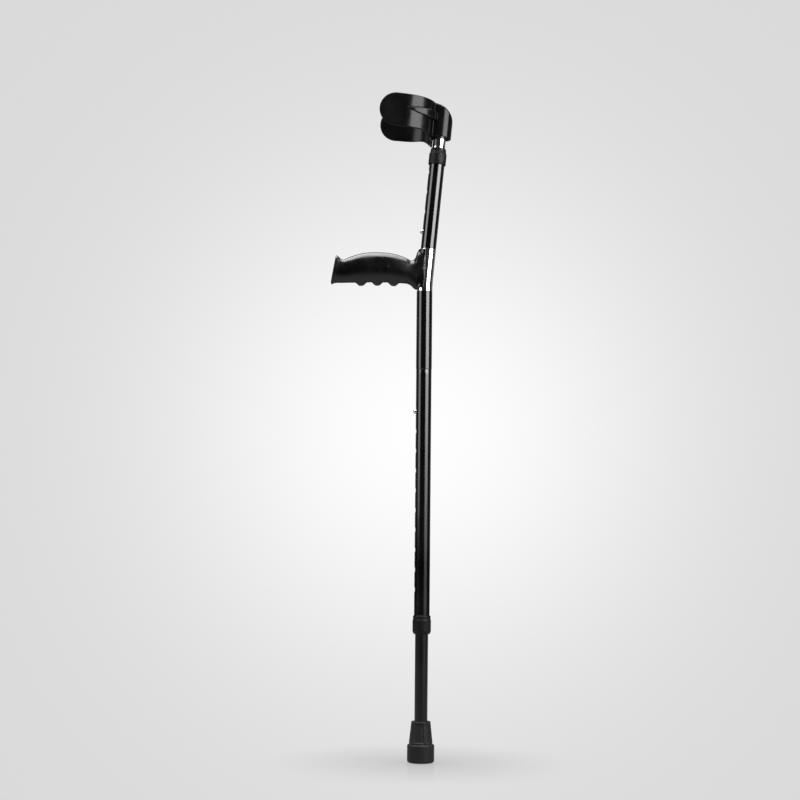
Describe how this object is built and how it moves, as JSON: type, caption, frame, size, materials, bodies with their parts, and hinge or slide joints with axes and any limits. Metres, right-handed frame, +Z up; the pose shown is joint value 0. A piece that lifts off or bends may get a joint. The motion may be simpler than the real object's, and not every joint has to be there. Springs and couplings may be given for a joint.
{
  "type": "forearm crutch",
  "caption": "Single forearm crutch with an open arm cuff, contoured hand grip, telescoping legs with snap buttons, lock nuts and a rubber tip.",
  "frame": {"origin": "centre of the rubber tip's bottom face", "axes": "+Z up along the lower tube; the hand grip and the cuff's open side point to -X; the upper tube leans towards +X; the XZ plane is the plane of symmetry"},
  "size_m": [0.1729, 0.097, 0.9429],
  "materials": {
    "black_tube": "satin black anodised",
    "polished_alloy": "polished",
    "cuff_plastic": "glossy moulded black",
    "grip_plastic": "smooth moulded black",
    "nut_plastic": "fine textured matte black",
    "bush_nylon": "dark nylon",
    "tip_rubber": "moulded matte rubber",
    "plated_steel": "zinc plated",
    "spring_steel": "oiled spring steel"
  },
  "bodies": {
    "frame": {"lower_outer_tube": "black_tube", "upper_outer_tube": "black_tube", "handle_bracket": "polished_alloy", "handle_core": "plated_steel", "hand_grip": "grip_plastic", "grip_end_cap": "grip_plastic", "grip_screw": "plated_steel", "grip_washer": "plated_steel", "saddle_rivet_near": "plated_steel", "saddle_rivet_far": "plated_steel", "leg_lock_bush": "bush_nylon", "cuff_lock_bush": "bush_nylon"},
    "leg": {"leg_tube": "black_tube", "leg_guide_plug": "bush_nylon", "leg_button_spring": "spring_steel", "rubber_tip": "tip_rubber", "tip_washer": "plated_steel"},
    "leg_button": {"leg_button": "plated_steel"},
    "leg_lock": {"leg_lock_nut": "nut_plastic"},
    "cuff": {"cuff_tube": "polished_alloy", "cuff_shell": "cuff_plastic", "cuff_guide_plug": "bush_nylon", "cuff_button_spring": "spring_steel", "cuff_rivet_lower": "plated_steel", "cuff_rivet_upper": "plated_steel"},
    "cuff_button": {"cuff_button": "plated_steel"},
    "cuff_lock": {"cuff_lock_nut": "nut_plastic"}
  },
  "joints": [
    {"name": "leg_slide", "type": "slide", "parent": "frame", "child": "leg", "axis": [0, 0, -1], "range_m": [0, 0.252], "deforming": ["leg_button"]},
    {"name": "leg_button_press", "type": "slide", "parent": "leg", "child": "leg_button", "axis": [1, 0, 0], "range_m": [0, 0.0048], "stiffness_N_per_m": 900, "springref_m": -0.002, "deforming": ["leg_button_spring"]},
    {"name": "leg_lock_turn", "type": "hinge", "parent": "frame", "child": "leg_lock", "pos_m": [0, 0, 0.191], "axis": [0, 0, 1], "range_deg": [0, 270]},
    {"name": "cuff_slide", "type": "slide", "parent": "frame", "child": "cuff", "axis": [0.0924, 0, 0.9957], "range_m": [0, 0.087], "deforming": ["cuff_button"]},
    {"name": "cuff_button_press", "type": "slide", "parent": "cuff", "child": "cuff_button", "axis": [0.9957, 0, -0.0924], "range_m": [0, 0.0048], "stiffness_N_per_m": 900, "springref_m": -0.002, "deforming": ["cuff_button_spring"]},
    {"name": "cuff_lock_turn", "type": "hinge", "parent": "frame", "child": "cuff_lock", "pos_m": [0.01737, 0, 0.8602], "axis": [0.0924, 0, 0.9957], "range_deg": [0, 270]}
  ]
}
